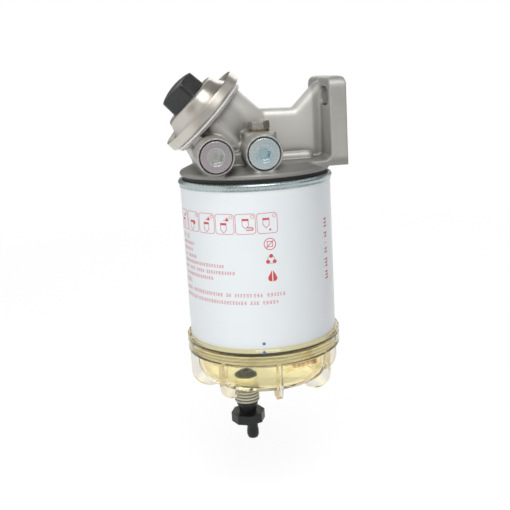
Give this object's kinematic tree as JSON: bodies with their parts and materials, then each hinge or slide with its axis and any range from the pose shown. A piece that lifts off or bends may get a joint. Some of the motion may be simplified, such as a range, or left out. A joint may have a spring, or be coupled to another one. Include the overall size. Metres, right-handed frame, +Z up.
{
  "type": "fuel water separator",
  "caption": "Spin-on fuel filter and water separator with a cast bracket head, tilted hand primer pump and clear finned sump bowl with a drain valve.",
  "frame": {"origin": "centre of the two bracket slots, on the outer face of the mounting plate", "axes": "+X out of the mounting face towards what the bracket is bolted to, +Z up along the canister's axis, +Y towards the open ports"},
  "size_m": [0.1225, 0.1136, 0.2726],
  "materials": {
    "cast_alloy": "sand-cast, lightly blasted",
    "zinc_steel": "bright blue zinc plate",
    "plug_steel": "iridescent zinc plate",
    "soft_alloy": "plain",
    "yellow_zinc": "zinc plate",
    "soft_brass": "dull",
    "polished_steel": "polished pressing",
    "black_plastic": "satin moulded",
    "grey_plastic": "moulded",
    "black_rubber": "smooth",
    "spring_steel": "drawn wire",
    "plated_sheet": "zinc-plated sheet",
    "white_paint": "gloss enamel with grey print",
    "filter_paper": "resin-set pleats",
    "amber_plastic": "clear amber moulding",
    "orange_plastic": "moulded"
  },
  "bodies": {
    "head": {"head_casting": "cast_alloy", "centre_nipple": "zinc_steel", "port_plug_left": "plug_steel", "port_plug_right": "zinc_steel", "plug_seal_left": "soft_alloy", "plug_seal_right": "soft_alloy", "pump_cover": "polished_steel", "pump_diaphragm": "black_rubber", "pump_spring": "spring_steel", "valve_plate": "grey_plastic", "inlet_valve": "black_rubber", "outlet_valve": "black_rubber"},
    "pump_button": {"pump_knob": "black_plastic", "pump_plunger": "zinc_steel", "diaphragm_disc_upper": "zinc_steel", "diaphragm_disc_lower": "zinc_steel"},
    "bleed_ring": {"bleed_washer": "soft_brass"},
    "bleed": {"bleed_screw": "yellow_zinc"},
    "gasket": {"head_gasket": "black_rubber"},
    "canister": {"end_plate": "plated_sheet", "canister_shell": "white_paint", "nipple_grommet": "black_rubber", "filter_cap_top": "plated_sheet", "filter_cap_low": "plated_sheet", "filter_media": "filter_paper", "centre_tube": "plated_sheet", "lower_ring": "plated_sheet", "filter_support": "plated_sheet"},
    "sump_seal": {"bowl_seal": "black_rubber"},
    "sump": {"bowl": "amber_plastic", "sensor_plug": "orange_plastic", "sensor_plug_rings": "black_rubber", "drain_seat": "grey_plastic"},
    "drain_ring": {"drain_seal": "black_rubber"},
    "drain": {"drain_valve": "black_plastic"}
  },
  "joints": [
    {"name": "pump_press", "type": "slide", "parent": "head", "child": "pump_button", "axis": [0.7071, 0, -0.7071], "range_m": [0, 0.009], "stiffness_N_per_m": 600, "springref_m": -0.003, "deforming": ["pump_spring", "pump_diaphragm"]},
    {"name": "bleed_lift", "type": "slide", "parent": "head", "child": "bleed_ring", "axis": [0, 0, 1], "range_m": [0, 0.00219]},
    {"name": "bleed_turn", "type": "hinge", "parent": "bleed_ring", "child": "bleed", "pos_m": [-0.0601, -0.0245, -0.018], "axis": [0, 0, 1], "range_deg": [0, 630]},
    {"name": "canister_drop", "type": "slide", "parent": "head", "child": "gasket", "axis": [0, 0, -1], "range_m": [0, 0.00901]},
    {"name": "canister_turn", "type": "hinge", "parent": "gasket", "child": "canister", "pos_m": [-0.061, 0, -0.0503], "axis": [0, 0, -1], "range_deg": [0, 1800]},
    {"name": "bowl_drop", "type": "slide", "parent": "canister", "child": "sump_seal", "axis": [0, 0, -1], "range_m": [0, 0.00901]},
    {"name": "bowl_turn", "type": "hinge", "parent": "sump_seal", "child": "sump", "pos_m": [-0.061, 0, -0.17], "axis": [0, 0, -1], "range_deg": [0, 1080]},
    {"name": "drain_drop", "type": "slide", "parent": "sump", "child": "drain_ring", "axis": [0, 0, -1], "range_m": [0, 0.00451]},
    {"name": "drain_turn", "type": "hinge", "parent": "drain_ring", "child": "drain", "pos_m": [-0.0775, -0.0085, -0.22], "axis": [0, 0, -1], "range_deg": [0, 540]}
  ],
  "couplings": [
    {"joint": "bleed_lift", "follows": "bleed_turn", "m_per_rad": 0.00019894},
    {"joint": "canister_drop", "follows": "canister_turn", "m_per_rad": 0.00028648},
    {"joint": "bowl_drop", "follows": "bowl_turn", "m_per_rad": 0.00047746},
    {"joint": "drain_drop", "follows": "drain_turn", "m_per_rad": 0.00047746}
  ]
}
